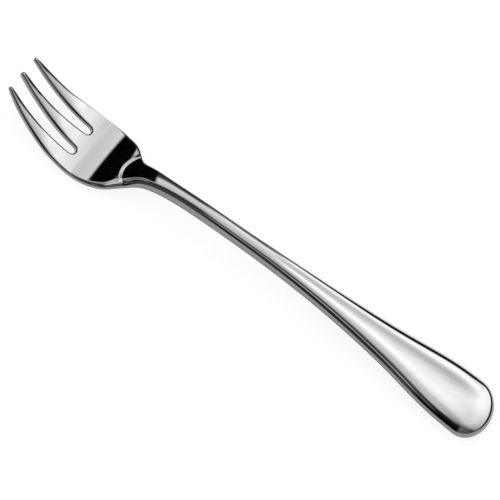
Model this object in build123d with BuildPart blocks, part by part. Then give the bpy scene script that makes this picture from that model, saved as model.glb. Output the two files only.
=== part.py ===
from build123d import *
import os
from math import cos, radians, sin

# Oyster fork, one forging of polished stainless steel, in millimetres
# X runs from the tine tips to the end of the handle, Y across, Z up from the table
overall_length = 145.5

# Tines and bowl, one dished plate that curves up to the tips
tip_span = 12.7
tip_flare = 0.25
head_width = 20.0
bowl_place = 25.0
tip_rise = 11.25
tip_thickness = 1.0
plate_thickness = 1.4
plate_side = 0.27
dish_depth = 0.35
tip_angle = 35.0

# Slots between the three tines
slot_length = 21.9
slot_width = 2.6
slot_spacing = 7.5
middle_tip_width = 1.6

# Neck
neck_place = 56.5
neck_width = 4.3
neck_thickness = 2.95
neck_side = 0.7
neck_crown = 0.2
neck_belly = 0.15
neck_rise = 5.7

# The middle share of the underside is flat across all along, so that the fork lies steady
flat_share = 0.35

# Handle
handle_width = 17.4
handle_thickness = 2.8
handle_side = 0.6
handle_crown = 0.6
handle_belly = 0.15
end_length = 7.6
end_angle = 8.0

# The fork lies on the bottom of its bowl and on the end of its handle
end_cos = cos(radians(end_angle))
end_sin = sin(radians(end_angle))
end_share = end_length / (handle_width / 2)
side_radius = ((handle_thickness / 2) ** 2 + handle_side ** 2) / (2 * handle_side)
side_reach = side_radius * end_share
edge_reach = (handle_width / 2 - handle_side) * end_share
handle_place = overall_length - (end_length - side_reach) * end_cos - side_reach
handle_height = edge_reach * end_sin + handle_thickness / 2 * end_cos
bowl_height = plate_thickness / 2 + dish_depth
tip_height = bowl_height + tip_rise
neck_height = bowl_height + neck_rise

# The plate starts far enough ahead for the noses of the tines to be cut from it
tip_lead = (tip_thickness / 2 + dish_depth) * sin(radians(tip_angle))

# Four main sections: place, half width, height, thickness, bulge of the sides, crown on top, belly below
tip = (-tip_lead, tip_span / 2 - tip_flare, tip_height, tip_thickness, plate_side, -dish_depth, dish_depth)
bowl = (bowl_place, head_width / 2, bowl_height, plate_thickness, plate_side, -dish_depth, dish_depth)
neck = (neck_place, neck_width / 2, neck_height, neck_thickness, neck_side, neck_crown, neck_belly)
handle_shape = (handle_thickness, handle_side, handle_crown, handle_belly)
handle = (handle_place, handle_width / 2, handle_height, *handle_shape)

# The sections between two main ones: how far the place, the width, the height
# and the rest have gone from the first one to the last
bowl_shares = [
    (0.171, 0.317, 0.297, 0.30),
    (0.369, 0.581, 0.583, 0.60),
    (0.595, 0.827, 0.823, 0.80),
    (0.812, 0.973, 0.955, 0.95),
]
shoulder_shares = [
    (0.11, 0.045, 0.055, 0.08),
    (0.20, 0.150, 0.150, 0.20),
    (0.27, 0.310, 0.225, 0.33),
    (0.33, 0.545, 0.270, 0.50),
    (0.40, 0.785, 0.420, 0.66),
    (0.46, 0.880, 0.610, 0.77),
    (0.55, 0.940, 0.790, 0.88),
    (0.71, 0.985, 0.915, 0.97),
]
handle_shares = [
    (0.15, 0.015, 0.005, 0.10),
    (0.30, 0.080, 0.025, 0.22),
    (0.45, 0.200, 0.120, 0.38),
    (0.60, 0.385, 0.280, 0.58),
    (0.75, 0.645, 0.510, 0.80),
    (0.88, 0.915, 0.755, 0.95),
]


def stretch(first, last, shares):
    """The sections between two main ones"""
    between = []
    for place_share, width_share, height_share, rest_share in shares:
        steps = (place_share, width_share, height_share) + (rest_share,) * 4
        between.append(tuple(a + (b - a) * share for a, b, share in zip(first, last, steps)))
    return between


def blade(half_width, thickness, side, crown, belly):
    """One cross-section, crowned or dished on top, flat in the middle below, with round sides"""
    face = thickness / 2
    edge = half_width - side
    flat = flat_share * edge
    with BuildSketch() as section:
        with BuildLine():
            Spline((-edge, face), (0, face + crown), (edge, face))
            ThreePointArc((edge, face), (half_width, 0), (edge, -face))
            TangentArc((flat, -face - belly), (edge, -face), tangent=Axis.X.direction)
            Line((flat, -face - belly), (-flat, -face - belly))
            TangentArc((-flat, -face - belly), (-edge, -face), tangent=-Axis.X.direction)
            ThreePointArc((-edge, -face), (-half_width, 0), (-edge, face))
        make_face()
    return section.sketch


sections = [tip] + stretch(tip, bowl, bowl_shares)
sections += [bowl] + stretch(bowl, neck, shoulder_shares)
sections += [neck] + stretch(neck, handle, handle_shares)
sections += [handle]

with BuildPart() as fork:
    # The sections stand square on the line through their middles
    middles = [Vector(place - overall_length / 2, 0, height) for place, width, height, *shape in sections]
    tip_run = (cos(radians(tip_angle)), 0, -sin(radians(tip_angle)))
    end_run = (end_cos, 0, -end_sin)
    with BuildLine(mode=Mode.PRIVATE):
        spine = Spline(*middles, tangents=[tip_run, end_run])
    planes = []
    for middle in middles:
        run = spine.tangent_at(spine.param_at_point(middle))
        planes.append(Plane(origin=middle, x_dir=Axis.Y.direction, z_dir=run))
    for plane, (place, half_width, height, *shape) in zip(planes, sections):
        with BuildSketch(plane):
            add(blade(half_width, *shape))
    loft()

    # The handle ends in half a turn of half its last section, a little flattened
    with BuildSketch(mode=Mode.PRIVATE) as half_section:
        add(blade(handle_width / 2, *handle_shape))
        split(bisect_by=Plane.YZ, keep=Keep.TOP)
    half_turn = revolve(half_section.sketch, axis=-Axis.Y, revolution_arc=180, mode=Mode.PRIVATE)
    add(planes[-1] * scale(half_turn, by=(1, 1, end_share), mode=Mode.PRIVATE))

    # One cut from above makes two slots with round roots, narrows the middle tine
    # towards its tip and rounds the noses of all three tines
    overrun = head_width
    front = -overall_length / 2
    root_radius = slot_width / 2
    root_place = front + slot_length - root_radius
    outer_edge = (slot_spacing + slot_width) / 2
    inner_edge = (slot_spacing - slot_width) / 2
    nose_radius = (tip_span / 2 - outer_edge) / 2
    middle_radius = middle_tip_width / 2
    with BuildSketch(Plane.XY.offset(-overrun)) as slots:
        with BuildLine():
            outside = Line((front - overrun, overrun), (front + nose_radius, overrun))
            flank = Line(outside @ 1, (front + nose_radius, tip_span / 2))
            nose = RadiusArc(flank @ 1, (front + nose_radius, outer_edge), nose_radius)
            outer_side = Line(nose @ 1, (root_place, outer_edge))
            root = RadiusArc(outer_side @ 1, (root_place, inner_edge), root_radius)
            inner_side = Line(root @ 1, (front + middle_radius, middle_radius))
            middle_nose = RadiusArc(inner_side @ 1, (front, 0), middle_radius)
            Polyline(middle_nose @ 1, (front - overrun, 0), outside @ 0)
        make_face()
        mirror(about=Plane.XZ)
    extrude(amount=2 * overrun, mode=Mode.SUBTRACT)

fork.part.label = "fork"

os.makedirs("parts", exist_ok=True)
export_step(fork.part, "parts/fork.step")
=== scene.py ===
import bpy
import numpy as np
from mathutils import Matrix, Vector
from mathutils.geometry import delaunay_2d_cdt


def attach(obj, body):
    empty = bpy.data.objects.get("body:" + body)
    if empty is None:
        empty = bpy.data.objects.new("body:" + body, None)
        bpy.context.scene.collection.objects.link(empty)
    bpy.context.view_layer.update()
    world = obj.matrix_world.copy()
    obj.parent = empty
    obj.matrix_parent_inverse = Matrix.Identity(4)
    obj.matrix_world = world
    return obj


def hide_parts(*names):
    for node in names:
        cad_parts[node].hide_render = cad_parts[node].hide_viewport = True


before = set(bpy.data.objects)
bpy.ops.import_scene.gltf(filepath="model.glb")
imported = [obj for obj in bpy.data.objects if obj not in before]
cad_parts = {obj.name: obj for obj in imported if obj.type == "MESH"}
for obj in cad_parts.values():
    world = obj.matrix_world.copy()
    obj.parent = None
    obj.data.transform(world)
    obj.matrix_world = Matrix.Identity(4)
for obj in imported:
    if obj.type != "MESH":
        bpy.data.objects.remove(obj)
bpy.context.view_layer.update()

MM = 0.001

# The fork's main sections in millimetres, much as in the CAD part: place along the fork, half
# width, height, thickness, rounding of the upper edge, crown on top and belly below
LENGTH = 145.5
TIP = np.array([-0.4875, 6.10, 12.30, 0.85, 0.5, 0.0, 0.35])
BOWL = np.array([25.0, 10.0, 1.05, 1.25, 0.6, 0.0, 0.35])
NECK = np.array([56.5, 2.15, 6.6, 3.08, 1.9, 0.2, 0.15])
HANDLE = np.array([137.961, 8.7, 2.3225, 2.8, 2.1, 0.6, 0.15])
TIP_ANGLE, END_ANGLE = np.radians(35.0), np.radians(8.0)
END_LENGTH = 6.9

# The sections between two main ones: how far the place, the width, the height and the rest
# have gone from the first one to the last
BOWL_SHARES = [(0.171, 0.317, 0.297, 0.30), (0.369, 0.581, 0.583, 0.60), (0.595, 0.827, 0.823, 0.80),
               (0.812, 0.973, 0.955, 0.95)]
SHOULDER_SHARES = [(0.11, 0.045, 0.055, 0.08), (0.20, 0.150, 0.150, 0.20), (0.27, 0.310, 0.225, 0.33),
                   (0.33, 0.545, 0.270, 0.50), (0.40, 0.765, 0.440, 0.66), (0.46, 0.860, 0.630, 0.77),
                   (0.55, 0.930, 0.790, 0.88), (0.71, 0.985, 0.915, 0.97)]
HANDLE_SHARES = [(0.15, 0.015, 0.005, 0.10), (0.30, 0.080, 0.025, 0.22), (0.45, 0.200, 0.120, 0.38),
                 (0.60, 0.385, 0.280, 0.58), (0.75, 0.645, 0.510, 0.80), (0.88, 0.915, 0.755, 0.95)]

# Slots and the noses of the tines
SLOT_LENGTH, ROOT_RADIUS, OUTER_EDGE, INNER_EDGE = 21.35, 1.3, 5.05, 2.45
TIP_PLACE, NOSE_EDGE, NOSE_RADIUS, MIDDLE_NOSE = 0.2, 6.35, 0.65, 0.8

# The rounded edges: the rims of the slots above and below, and how much wider than deep the
# rounding is, by place
RIM, LOW_RIM = 0.5, 0.35
WIDE_PLACES = [0, 15, 25, 30, 37, 42, 55, 75, 110, 135, 146]
WIDE_SHARES = [1.2, 1.5, 1.0, 1.5, 1.5, 0.85, 0.85, 1.1, 1.7, 1.7, 1.2]
# The lower edges are rounded less than the upper ones, least of all at the bowl
LOW_PLACES, LOW_SHARES = [30, 42], [0.3, 0.68]
# The far upper edge is crisper than the near one, behind the bowl and also beside the slots' roots
FAR_START, FAR_RUN = 30, 5
FAR_PLACES, FAR_SHARES = [75, 105], [0.38, 0.62]
CRISP, CRISP_PLACE, CRISP_RUN = 0.25, 20.5, 7.0

# A step across the shoulder, a ridge on the neck's root, and the wear that crowns each tine
LEDGE, LEDGE_PLACE, LEDGE_RUN, LEDGE_BOW = 0.05, 33.6, 0.23, 0.085
RIDGE, RIDGE_PLACE, RIDGE_RUN = 0.15, 38.5, 3.2
TINE_CROWN, TINE_BEVEL, CROWN_END, CROWN_FADE = 0.06, 0.13, 19.0, 12.0
LEAST_HALF_TINE, LAST_SHARE = 0.4, 1.2

# How finely the skin is drawn: steps along the sides, shorter up to the neck, points round each
# bend of the outline, rings round the edges, a grid over the faces and rows along the step
SIDE_START, SHORT_STEP, SHORT_END, LONG_STEP = 0.6, 0.5, 60, 0.8
NOSE_POINTS, BEND_POINTS, MIDDLE_POINTS, CAP_POINTS = 17, 25, 21, 61
RING_ANGLES = np.radians([0, 12, 25, 38, 52, 66, 78, 90])
GRID_START, GRID_RUN, GRID_ACROSS, GRID_CLEAR = 0.4, 0.62, 0.55, 0.25
LEDGE_HALF, LEDGE_GRID, LEDGE_BAND, LEDGE_ROWS, LEDGE_CLEAR = 9.6, 0.4, 0.66, 13, 0.8
# How far behind the tips, and in how many rounds, the change from edge to rim is softened
SOFT_LENGTH, SOFT_ROUNDS = 3.0, 6
# The small distance over which slopes and normals are measured
NUDGE = 0.02


def stretch(first, last, shares):
    """The sections between two main ones"""
    rows = []
    for place_share, width_share, height_share, rest_share in shares:
        steps = np.array([place_share, width_share, height_share] + [rest_share] * 4)
        rows.append(first + (last - first) * steps)
    return rows


TABLE = np.array([TIP] + stretch(TIP, BOWL, BOWL_SHARES) + [BOWL] + stretch(BOWL, NECK, SHOULDER_SHARES)
                 + [NECK] + stretch(NECK, HANDLE, HANDLE_SHARES) + [HANDLE])


class Smooth:
    """A cubic spline through the sections, with its end slopes given or free"""

    def __init__(self, x, y, first=None, last=None):
        n = len(x)
        step = np.diff(x)
        rate = np.diff(y) / step
        a = np.zeros((n, n))
        b = np.zeros(n)
        for i in range(1, n - 1):
            a[i, i - 1], a[i, i], a[i, i + 1] = step[i], 2 * (step[i - 1] + step[i]), step[i - 1]
            b[i] = 3 * (step[i] * rate[i - 1] + step[i - 1] * rate[i])
        a[0, 0], b[0] = 1, first if first is not None else 0
        if first is None:
            a[0, 0], a[0, 1], b[0] = 2, 1, 3 * rate[0]
        a[-1, -1], b[-1] = 1, last if last is not None else 0
        if last is None:
            a[-1, -1], a[-1, -2], b[-1] = 2, 1, 3 * rate[-1]
        self.x, self.y, self.m = np.array(x), np.array(y), np.linalg.solve(a, b)

    def __call__(self, q):
        q = np.asarray(q, float)
        inside = np.clip(q, self.x[0], self.x[-1])
        i = np.clip(np.searchsorted(self.x, inside) - 1, 0, len(self.x) - 2)
        h = self.x[i + 1] - self.x[i]
        t = (inside - self.x[i]) / h
        value = ((1 + 2 * t) * (1 - t) ** 2 * self.y[i] + t * (1 - t) ** 2 * h * self.m[i]
                 + t * t * (3 - 2 * t) * self.y[i + 1] + t * t * (t - 1) * h * self.m[i + 1])
        return value + np.where(q > self.x[-1], (q - self.x[-1]) * self.m[-1],
                                np.where(q < self.x[0], (q - self.x[0]) * self.m[0], 0))


width_at = Smooth(TABLE[:, 0], TABLE[:, 1], None, 0.0)
height_at = Smooth(TABLE[:, 0], TABLE[:, 2], -np.tan(TIP_ANGLE), -np.tan(END_ANGLE))
thick_at, corner_at, crown_at, belly_at = (Smooth(TABLE[:, 0], TABLE[:, i], None, 0.0) for i in range(3, 7))


def slope_at(p):
    """How steeply the middle line climbs"""
    return (height_at(p + NUDGE / 2) - height_at(p - NUDGE / 2)) / NUDGE


# The run along the middle line, from the first section, against the place, past both ends
fine = np.linspace(-3.0, 150.0, 6001)
run = np.concatenate([[0], np.cumsum(np.hypot(np.diff(fine), np.diff(height_at(fine))))])
run -= np.interp(TIP[0], fine, run)
end_run = np.interp(HANDLE[0], fine, run)


def place_of(s):
    """The place along the fork at a run along its middle line"""
    return np.interp(s, run, fine)


def run_of(p):
    """The run along the middle line at a place"""
    return np.interp(p, fine, run)


def edge_share(s, y):
    """How far out a point is, 0 on the middle line and 1 at the edge"""
    half_width = width_at(np.minimum(place_of(s), HANDLE[0]))
    over = np.maximum(s - end_run, 0) / END_LENGTH
    return (y / half_width) ** 2 + over ** 2


def tine_crown(p, y):
    """Each tine's own crown, steepest along its edges and fading out before the slots end"""
    inner = np.interp(p, [0, SLOT_LENGTH], [MIDDLE_NOSE, INNER_EDGE])
    outer = np.maximum((width_at(p) - OUTER_EDGE) / 2, LEAST_HALF_TINE)
    from_middle = np.abs(y) / inner
    from_outer = np.abs(np.abs(y) - OUTER_EDGE - outer) / outer
    on_outer = np.abs(y) > (OUTER_EDGE + INNER_EDGE) / 2
    half = np.where(on_outer, outer, inner)
    share = np.clip(np.where(on_outer, from_outer, from_middle), 0, LAST_SHARE)
    fade = np.clip((CROWN_END - p) / CROWN_FADE, 0, 1)
    return -half * (TINE_CROWN * share ** 2 + TINE_BEVEL * share ** 4) * fade * fade * (3 - 2 * fade)


def middle(s, y):
    """A point of the middle sheet, and the way up from it"""
    p = place_of(s)
    lean = slope_at(p)
    size = np.hypot(1, lean)
    centre = np.stack([p - LENGTH / 2, y, height_at(p)], -1)
    up = np.stack([-lean / size, np.zeros_like(p), 1 / size], -1)
    return centre, up


def skin(s, y, side, drop=0.0):
    """A point of the top (side 1) or the underside (side -1), below its sharp form by drop"""
    s, y = np.asarray(s, float), np.asarray(y, float)
    centre, up = middle(s, y)
    p = np.minimum(place_of(s), HANDLE[0])
    inward = 1 - edge_share(s, y)
    bulge = crown_at(p) if side > 0 else belly_at(p)
    h = thick_at(p) / 2 + bulge * inward - drop
    if side > 0:
        h = h + RIDGE * np.exp(-((p - RIDGE_PLACE) / RIDGE_RUN) ** 2) * inward
        h = h - LEDGE * np.tanh((p - LEDGE_BOW * y ** 2 - LEDGE_PLACE) / LEDGE_RUN)
        h = h + tine_crown(p, y)
    return centre + up * (side * h)[..., None]


def skin_normal(s, y, side):
    """The way out of the top or the underside"""
    along = skin(s + NUDGE, y, side) - skin(s - NUDGE, y, side)
    across = skin(s, y + NUDGE, side) - skin(s, y - NUDGE, side)
    n = np.cross(along, across)
    n /= np.linalg.norm(n, axis=-1, keepdims=True)
    return n * side


def arc(centre, radius, start, end, count):
    """Points round part of a circle"""
    t = np.linspace(start, end, count)
    return np.stack([centre[0] + radius * np.cos(t), centre[1] + radius * np.sin(t)], -1)


def line(a, b, step):
    """Points from a to b, no further apart than a step"""
    n = max(int(np.ceil(np.hypot(*(np.array(b) - a)) / step)), 3)
    t = np.linspace(0, 1, n + 1)[:, None]
    return np.array(a) * (1 - t) + np.array(b) * t


def outline():
    """The fork from above, run by y, anticlockwise, with how round its edge is above and below"""
    front = run_of(TIP_PLACE)
    nose = front + NOSE_RADIUS
    root = run_of(SLOT_LENGTH - ROOT_RADIUS)
    back, ahead = np.pi / 2, 3 * np.pi / 2
    sides = np.concatenate([np.arange(0, SHORT_END, SHORT_STEP),
                            np.arange(SHORT_END, end_run - LONG_STEP / 2, LONG_STEP), [end_run]])
    sides = sides[sides > nose + SIDE_START]
    near = np.stack([sides, -width_at(place_of(sides))], -1)
    far = near[::-1] * [1, -1]
    cap = arc((0, 0), 1, -back, back, CAP_POINTS)[1:-1] * [END_LENGTH, HANDLE[1]] + [end_run, 0]
    # The outer tine's nose, the slot and the middle tine's nose, on the +y side
    outer_nose = arc((nose, NOSE_EDGE - NOSE_RADIUS), NOSE_RADIUS, back, ahead, NOSE_POINTS)
    flank = line((front + MIDDLE_NOSE, MIDDLE_NOSE), (root, INNER_EDGE), SHORT_STEP)
    slot = line((nose, OUTER_EDGE), (root, OUTER_EDGE), SHORT_STEP)
    bend = arc((root, (OUTER_EDGE + INNER_EDGE) / 2), ROOT_RADIUS, back, -back, BEND_POINTS)
    middle_nose = arc((front + MIDDLE_NOSE, 0), MIDDLE_NOSE, back, ahead, MIDDLE_POINTS)
    half_middle = middle_nose[:MIDDLE_POINTS // 2 + 1]
    half = np.concatenate([outer_nose, slot[1:-1], bend, flank[::-1][1:-1], half_middle])
    loop = np.concatenate([near, cap, far, half, (half[::-1] * [1, -1])[1:]])

    places = np.minimum(place_of(loop[:, 0]), HANDLE[0])
    reach = corner_at(places)
    room_below = np.maximum(thick_at(places) - reach, reach * LOW_SHARES[0])
    low_reach = np.minimum(reach * np.interp(places, LOW_PLACES, LOW_SHARES), room_below)
    turn = np.clip(0.5 + loop[:, 1] / width_at(places) / 2, 0, 1)
    turn = turn * np.clip((places - FAR_START) / FAR_RUN, 0, 1)
    reach = reach * (1 - (1 - np.interp(places, FAR_PLACES, FAR_SHARES)) * turn)
    # The rims start and end at the middle of the two outer noses
    first_far = len(near) + len(cap)
    first_rim = first_far + len(far)
    half_nose = NOSE_POINTS // 2
    rims = slice(first_rim + half_nose, len(loop) - half_nose)
    reach[rims], low_reach[rims] = RIM, LOW_RIM
    crisp = np.exp(-((place_of(far[:, 0]) - CRISP_PLACE) / CRISP_RUN) ** 4)
    reach[first_far:first_rim] *= 1 - (1 - CRISP) * crisp
    # Round the tips the change from edge to rim is spread over a few points
    at_tips = loop[:, 0] < front + SOFT_LENGTH
    for _ in range(SOFT_ROUNDS):
        for amount in (reach, low_reach):
            soft = (np.roll(amount, 1) + 2 * amount + np.roll(amount, -1)) / 4
            amount[at_tips] = soft[at_tips]
    return loop, reach, low_reach


def loop_normals(loop):
    """The way out from each point of the outline"""
    ahead, behind = np.roll(loop, -1, 0) - loop, loop - np.roll(loop, 1, 0)
    a, b = np.linalg.norm(ahead, axis=1), np.linalg.norm(behind, axis=1)
    tangent = (ahead / a[:, None]) * b[:, None] + (behind / b[:, None]) * a[:, None]
    tangent /= np.linalg.norm(tangent, axis=1)[:, None]
    return np.stack([tangent[:, 1], -tangent[:, 0]], -1)


def inside_loop(points, loop):
    """Which points are inside an outline: a line to one side of them crosses it an odd number of times"""
    x, y = points[:, :1], points[:, 1:]
    x1, y1 = loop[:, 0], loop[:, 1]
    x2, y2 = np.roll(x1, -1), np.roll(y1, -1)
    crosses = (y1 > y) != (y2 > y)
    at = (x2 - x1) * (y - y1) / np.where(y2 == y1, 1e-9, y2 - y1) + x1
    return (crosses & (x < at)).sum(1) % 2 == 1


def ring(loop, outward, reach, wide, side, angle):
    """One ring round the rounded edge, at an angle of 0 on its widest line and 90 on the face"""
    inward = reach * wide * (1 - np.cos(angle))
    s, y = (loop - outward * inward[:, None]).T
    points = skin(s, y, side, reach * (1 - np.sin(angle)))
    face = skin_normal(s, y, side)
    along = middle(s + NUDGE, y)[0] - middle(s - NUDGE, y)[0]
    along /= np.linalg.norm(along, axis=1)[:, None]
    out = along * outward[:, :1] + np.array([0, 1, 0]) * outward[:, 1:]
    out -= face * (out * face).sum(1)[:, None]
    out /= np.linalg.norm(out, axis=1)[:, None]
    normals = out * np.cos(angle) + face * np.sin(angle) * wide[:, None]
    normals /= np.linalg.norm(normals, axis=1)[:, None]
    return np.stack([s, y], -1), points, normals


def face_grids():
    """Points to fill the underside and the top with, the top's closer together at the step"""
    s, y = np.meshgrid(np.arange(GRID_START, end_run + END_LENGTH, GRID_RUN),
                       np.arange(-BOWL[1], BOWL[1] + 0.01, GRID_ACROSS))
    s = s + GRID_RUN / 2 * (np.arange(len(s)) % 2)[:, None]
    low = np.stack([s.ravel(), y.ravel()], -1)
    from_step = place_of(low[:, 0]) - LEDGE_BOW * low[:, 1] ** 2 - LEDGE_PLACE
    across, along = np.meshgrid(np.arange(-LEDGE_HALF, LEDGE_HALF + 0.01, LEDGE_GRID),
                                np.linspace(-LEDGE_BAND, LEDGE_BAND, LEDGE_ROWS))
    step = np.stack([run_of(LEDGE_PLACE + LEDGE_BOW * across ** 2 + along).ravel(), across.ravel()], -1)
    high = np.concatenate([low[np.abs(from_step) > LEDGE_CLEAR], step])
    return low, high


def fill(flat, grid, side, first, base):
    """A face inside its ring: its new points, run by y, and its triangles by number of point"""
    count = len(flat)
    keep = grid[inside_loop(grid, flat)]
    clear = np.array([np.min(np.sum((flat - g) ** 2, 1)) for g in keep])
    keep = keep[clear > GRID_CLEAR ** 2]
    points = [Vector(p) for p in np.concatenate([flat, keep])]
    # Output type 1 keeps the triangles inside the ring
    spots, _, triangles, sources, _, _ = delaunay_2d_cdt(points, [], [list(range(count))], 1, 1e-7)
    number, extra, faces = {}, [], []
    for i, source in enumerate(sources):
        if source and source[0] < count:
            number[i] = first + source[0]
        else:
            number[i] = base + len(extra)
            extra.append((spots[i].x, spots[i].y))
    for triangle in triangles:
        numbers = tuple(number[i] for i in triangle)
        a, b, c = (np.array(spots[i]) for i in triangle)
        turned = (b[0] - a[0]) * (c[1] - a[1]) - (b[1] - a[1]) * (c[0] - a[0]) > 0
        faces.append(numbers if turned == (side > 0) else numbers[::-1])
    return np.array(extra), faces


def build_fork():
    """One closed skin: rings round the edge, from the underside up, and the two filled faces"""
    loop, high_reach, low_reach = outline()
    outward = loop_normals(loop)
    wide = np.interp(place_of(loop[:, 0]), WIDE_PLACES, WIDE_SHARES)
    rings = [ring(loop, outward, low_reach, wide, -1, angle) for angle in RING_ANGLES[::-1]]
    rings += [ring(loop, outward, high_reach, wide, 1, angle) for angle in RING_ANGLES]
    verts = [points for _, points, _ in rings]
    normals = [ring_normals for _, _, ring_normals in rings]
    count, faces = len(loop), []
    for k in range(len(rings) - 1):
        for i in range(count):
            j = (i + 1) % count
            faces.append((k * count + i, k * count + j, (k + 1) * count + j, (k + 1) * count + i))
    low_grid, high_grid = face_grids()
    top_ring = (len(rings) - 1) * count
    for side, flat, grid, first in ((-1, rings[0][0], low_grid, 0), (1, rings[-1][0], high_grid, top_ring)):
        extra, triangles = fill(flat, grid, side, first, sum(len(v) for v in verts))
        verts.append(skin(extra[:, 0], extra[:, 1], side))
        normals.append(skin_normal(extra[:, 0], extra[:, 1], side))
        faces += triangles
    mesh = bpy.data.meshes.new("fork_skin")
    mesh.from_pydata((np.concatenate(verts) * MM).tolist(), [], faces)
    mesh.validate()
    mesh.update()
    mesh.shade_smooth()
    mesh.normals_split_custom_set_from_vertices(np.concatenate(normals).tolist())
    obj = bpy.data.objects.new("fork_skin", mesh)
    bpy.context.scene.collection.objects.link(obj)
    return obj


def nodes_of(owner):
    """The emptied node tree of a material or the world"""
    owner.use_nodes = True
    tree = owner.node_tree
    tree.nodes.clear()
    return tree.nodes, tree.links


def math_node(nodes, links, kind, a, b=None, c=None):
    """The result of a sum, whose terms are numbers or the outputs of other nodes"""
    node = nodes.new("ShaderNodeMath")
    node.operation = kind
    for i, value in enumerate((a, b, c)):
        if value is None:
            continue
        if isinstance(value, (int, float)):
            node.inputs[i].default_value = value
        else:
            links.new(value, node.inputs[i])
    return node.outputs[0]


# The steel: its tone and roughness between two levels in fine cloudy marks. Its upright sides get a painted
# shade, a darker tone in place of the dark reflections they would show: from where to where the height of
# their normal turns face into side
FACE_TONES = [(0.3, (0.80, 0.80, 0.805, 1)), (0.7, (0.84, 0.84, 0.845, 1))]
ROUGH, DULL = 0.02, 0.05
MARK_SCALE, MARK_DETAIL = 90.0, 3.0
# Where the face turns into the side, and the darker tone of the painted shade on the upright sides
FACE_TURN, SIDE_TURN, SIDE_PAINTED_SHADE = 0.9, 0.72, 0.26


def steel():
    """Polished stainless steel, with a painted shade darkening its upright sides"""
    mat = bpy.data.materials.new("polished_steel")
    nodes, links = nodes_of(mat)
    out = nodes.new("ShaderNodeOutputMaterial")
    shade = nodes.new("ShaderNodeBsdfPrincipled")
    links.new(shade.outputs[0], out.inputs[0])
    shade.inputs["Metallic"].default_value = 1.0
    coord = nodes.new("ShaderNodeTexCoord")
    marks = nodes.new("ShaderNodeTexNoise")
    marks.inputs["Scale"].default_value = MARK_SCALE
    marks.inputs["Detail"].default_value = MARK_DETAIL
    links.new(coord.outputs["Object"], marks.inputs["Vector"])
    tone = nodes.new("ShaderNodeValToRGB")
    for element, (position, colour) in zip(tone.color_ramp.elements, FACE_TONES):
        element.position, element.color = position, colour
    links.new(marks.outputs[0], tone.inputs[0])
    split = nodes.new("ShaderNodeSeparateXYZ")
    links.new(coord.outputs["Normal"], split.inputs[0])
    # The mask of the painted shade: 0 on the faces, 1 on the upright sides
    upright = nodes.new("ShaderNodeMapRange")
    upright.inputs["From Min"].default_value = FACE_TURN
    upright.inputs["From Max"].default_value = SIDE_TURN
    links.new(math_node(nodes, links, "ABSOLUTE", split.outputs[2]), upright.inputs["Value"])
    # Mix the painted shade into the steel's tone on the upright sides
    mix = nodes.new("ShaderNodeMix")
    mix.data_type = "RGBA"
    links.new(upright.outputs[0], mix.inputs["Factor"])
    links.new(tone.outputs[0], mix.inputs[6])
    mix.inputs[7].default_value = (SIDE_PAINTED_SHADE, SIDE_PAINTED_SHADE, SIDE_PAINTED_SHADE, 1)
    links.new(mix.outputs[2], shade.inputs["Base Color"])
    rough = nodes.new("ShaderNodeMapRange")
    rough.inputs["To Min"].default_value = ROUGH
    rough.inputs["To Max"].default_value = DULL
    links.new(marks.outputs[0], rough.inputs["Value"])
    links.new(rough.outputs[0], shade.inputs["Roughness"])
    return mat


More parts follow.
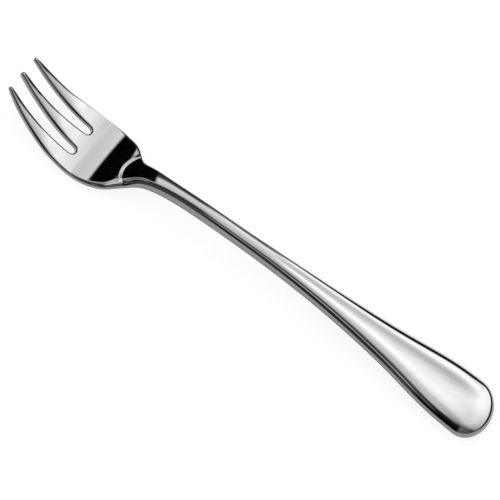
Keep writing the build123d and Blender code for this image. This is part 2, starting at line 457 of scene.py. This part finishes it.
# The room as the steel sees it, above the table: its light by the angle about X, 0 at the far
# horizon, 90 overhead and 180 at the horizon behind the camera. First two soft boxes ahead of
# the tips in the dark, and then, from where to where along X each part takes over from the one
# before, the rest of the room
AHEAD = [(66, 0.001), (70, 0.3), (78, 0.4), (86, 0.3), (92, 0.05), (100, 0.04), (106, 0.3), (118, 0.3),
         (124, 0.05)]
DARK_FAR_WALL = [(24, 0.01), (34, 0.02)]
ROOM = [
    # Soft boxes over the palm and the neck
    (-0.42, -0.38, [(0, 0.06), (14, 0.04), (25, 0.02), (36, 0.02), (43, 0.03), (46, 0.08), (48, 0.3),
                    (50, 0.68), (51.5, 0.82), (53, 0.74), (55, 0.69), (64, 0.58), (73, 0.5), (85, 0.33),
                    (95, 0.1), (105, 0.03), (123, 0.03), (139, 0.12), (160, 0.2), (182, 0.12)]),
    (-0.12, -0.03, [(12, 0.03), (23, 0.06), (34, 0.17), (42, 0.1), (43, 0.15), (45, 0.5), (47, 0.98),
                    (49, 0.98), (51, 0.9), (55, 0.76), (59, 0.66), (64, 0.62), (75, 0.62), (88, 0.6),
                    (101, 0.5), (111, 0.25), (118, 0.07), (126, 0.06), (130, 0.25), (135, 0.9), (140, 0.9),
                    (145, 0.2), (149, 0.01)]),
    # Long soft boxes over the handle
    (-0.03, 0.01, DARK_FAR_WALL + [(38, 0.12), (40, 0.4), (42, 0.95), (44, 1.2), (45, 1.1), (47, 0.8),
                                   (49, 0.65), (51, 0.59), (53, 0.61), (55, 0.71), (57, 0.94), (59, 1.2),
                                   (68, 1.16), (75, 1.05), (82, 0.88), (93, 0.66), (105, 0.55),
                                   (111, 0.36), (116, 0.1), (129, 0.04), (137, 0.3), (147, 0.05),
                                   (155, 0.015), (170, 0.004)]),
    (0.06, 0.15, DARK_FAR_WALL + [(38, 0.12), (41, 0.85), (43, 1.25), (45, 1.05), (47, 0.65), (49, 0.58),
                                  (51, 0.64), (53, 0.76), (56, 0.92), (58, 1.05), (60, 1.2), (63, 1.2),
                                  (67, 1.08), (71, 0.97), (76, 0.85), (81, 0.76), (90, 0.64), (100, 0.6),
                                  (110, 0.55), (114, 0.35), (118, 0.05), (127, 0.02), (144, 0.01),
                                  (150, 0.01), (162, 0.002)]),
    (0.15, 0.24, DARK_FAR_WALL + [(41, 0.45), (42, 0.95), (43.5, 1.25), (45, 1.1), (46, 0.72), (47, 0.52),
                                  (49, 0.55), (50, 0.66), (52, 0.82), (54, 1.03), (56, 1.06), (58, 1.1),
                                  (60, 1.2), (62, 1.15), (64, 0.97), (68, 0.86), (72, 0.76), (80, 0.63),
                                  (89, 0.59), (97, 0.52), (106, 0.5), (110, 0.42), (114, 0.15),
                                  (118, 0.03), (130, 0.02), (137, 0.01), (152, 0.003)]),
    # A white wall past the end of the handle, dark behind the camera
    (0.2, 0.36, [(15, 0.02), (31, 0.03), (35, 0.3), (38, 1.1), (48, 1.18), (50, 1.16), (52, 1.1), (54, 1.0),
                 (56, 0.9), (61, 0.78), (73, 0.55), (85, 0.42), (95, 0.28), (108, 0.05), (120, 0.01)]),
    # What the tines see, where they curve up
    (0.38, 0.58, [(0, 0.01), (31, 0.004), (37, 0.7), (42, 0.82), (47, 0.76), (51, 0.66), (56, 0.62),
                  (78, 0.48), (92, 0.2), (105, 0.12), (140, 0.3), (180, 0.25)]),
]
# A ramp's colours end at 1, so its levels are stored as shares of a brighter one than any
BRIGHTEST = 2.0
# The world's light on all but the steel's reflections
EVEN_LIGHT = 1.0


def ramp_node(nodes, links, share, stops):
    """Levels of light by angle"""
    ramp = nodes.new("ShaderNodeValToRGB")
    elements = ramp.color_ramp.elements
    for i, (degrees, level) in enumerate(stops):
        position = degrees / 360 + 0.25
        element = elements[i] if i < 2 else elements.new(position)
        element.position = position
        element.color = (level / BRIGHTEST, level / BRIGHTEST, level / BRIGHTEST, 1)
    links.new(share, ramp.inputs[0])
    return math_node(nodes, links, "MULTIPLY", ramp.outputs[0], BRIGHTEST)


def blend_node(nodes, links, value, low, high, first, second):
    """The first level below low, the second above high"""
    step = nodes.new("ShaderNodeMapRange")
    step.interpolation_type = "SMOOTHSTEP"
    step.inputs["From Min"].default_value = low
    step.inputs["From Max"].default_value = high
    links.new(value, step.inputs["Value"])
    mix = nodes.new("ShaderNodeMix")
    mix.data_type = "FLOAT"
    links.new(step.outputs[0], mix.inputs["Factor"])
    links.new(first, mix.inputs[2])
    links.new(second, mix.inputs[3])
    return mix.outputs[0]


def studio():
    """An even white light on everything, in which the steel mirrors the soft boxes and cards"""
    world = bpy.data.worlds.new("studio")
    bpy.context.scene.world = world
    nodes, links = nodes_of(world)
    out = nodes.new("ShaderNodeOutputWorld")
    coord = nodes.new("ShaderNodeTexCoord")
    split = nodes.new("ShaderNodeSeparateXYZ")
    links.new(coord.outputs["Generated"], split.inputs[0])
    x, y, z = split.outputs
    # The angle about X as a share of a full turn, starting straight below
    over = math_node(nodes, links, "ARCTAN2", math_node(nodes, links, "MULTIPLY", y, -1.0), z)
    share = math_node(nodes, links, "MULTIPLY_ADD", over, 1 / (2 * np.pi), 0.5)
    level = ramp_node(nodes, links, share, AHEAD)
    for start, full, stops in ROOM:
        level = blend_node(nodes, links, x, start, full, level, ramp_node(nodes, links, share, stops))
    path = nodes.new("ShaderNodeLightPath")
    seen = nodes.new("ShaderNodeMix")
    seen.data_type = "FLOAT"
    links.new(path.outputs["Is Glossy Ray"], seen.inputs["Factor"])
    seen.inputs[2].default_value = EVEN_LIGHT
    links.new(level, seen.inputs[3])
    back = nodes.new("ShaderNodeBackground")
    links.new(seen.outputs[0], back.inputs["Color"])
    links.new(back.outputs[0], out.inputs[0])


FLOOR_SIZE, FLOOR_COLOUR, FLOOR_GLOW = 2.4, 0.3, 0.73


def floor():
    """A white floor, whose glow is seen by the camera and in the steel and lights nothing"""
    bpy.ops.mesh.primitive_plane_add(size=FLOOR_SIZE, location=(0, 0, 0))
    plane = bpy.context.object
    plane.name = "floor"
    mat = bpy.data.materials.new("pale_floor")
    nodes, links = nodes_of(mat)
    out = nodes.new("ShaderNodeOutputMaterial")
    matt = nodes.new("ShaderNodeBsdfDiffuse")
    matt.inputs["Color"].default_value = (FLOOR_COLOUR, FLOOR_COLOUR, FLOOR_COLOUR, 1)
    glow = nodes.new("ShaderNodeEmission")
    path = nodes.new("ShaderNodeLightPath").outputs
    seen = math_node(nodes, links, "MAXIMUM", path["Is Camera Ray"], path["Is Glossy Ray"])
    seen = math_node(nodes, links, "MAXIMUM", seen, path["Is Transmission Ray"])
    links.new(math_node(nodes, links, "MULTIPLY", seen, FLOOR_GLOW), glow.inputs["Strength"])
    both = nodes.new("ShaderNodeAddShader")
    links.new(matt.outputs[0], both.inputs[0])
    links.new(glow.outputs[0], both.inputs[1])
    links.new(both.outputs[0], out.inputs[0])
    plane.data.materials.append(mat)


# The camera that was fitted to the photo: how high it stands, how far it is turned about Z and
# rolled in degrees, then in millimetres where it looks and from how far, and its focal length
# in pixels of a picture 500 wide
CAMERA_ANGLES = np.radians([55.40, 3.49, 31.76])
CAMERA_TARGET, CAMERA_DISTANCE = np.array([-1.524, 0.585, 3.643]), 566.9
FOCAL_PIXELS, PICTURE_WIDTH, SENSOR_WIDTH = 2273.6, 500, 36.0
# It sees from 5 centimetres away to 10 metres
CLIP_START, CLIP_END = 0.05, 10


def camera():
    """The scene's camera, looking at the fork as the photo's does"""
    height, turn, roll = CAMERA_ANGLES
    back = np.array([np.sin(turn) * np.cos(height), -np.cos(turn) * np.cos(height), np.sin(height)])
    right = np.array([np.cos(turn), np.sin(turn), 0])
    up = np.cross(back, right)
    axes = np.eye(4)
    axes[:3, 0] = right * np.cos(roll) + up * np.sin(roll)
    axes[:3, 1] = -right * np.sin(roll) + up * np.cos(roll)
    axes[:3, 2] = back
    axes[:3, 3] = (CAMERA_TARGET + CAMERA_DISTANCE * back) * MM
    data = bpy.data.cameras.new("camera")
    cam = bpy.data.objects.new("camera", data)
    bpy.context.scene.collection.objects.link(cam)
    cam.matrix_world = Matrix(axes.tolist())
    data.sensor_fit = "HORIZONTAL"
    data.sensor_width = SENSOR_WIDTH
    data.lens = SENSOR_WIDTH * FOCAL_PIXELS / PICTURE_WIDTH
    data.clip_start = CLIP_START
    data.clip_end = CLIP_END
    bpy.context.scene.camera = cam


fork = build_fork()
fork.data.materials.append(steel())
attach(fork, "root")
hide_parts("fork")
studio()
floor()
camera()
bpy.context.scene.view_settings.view_transform = "Standard"
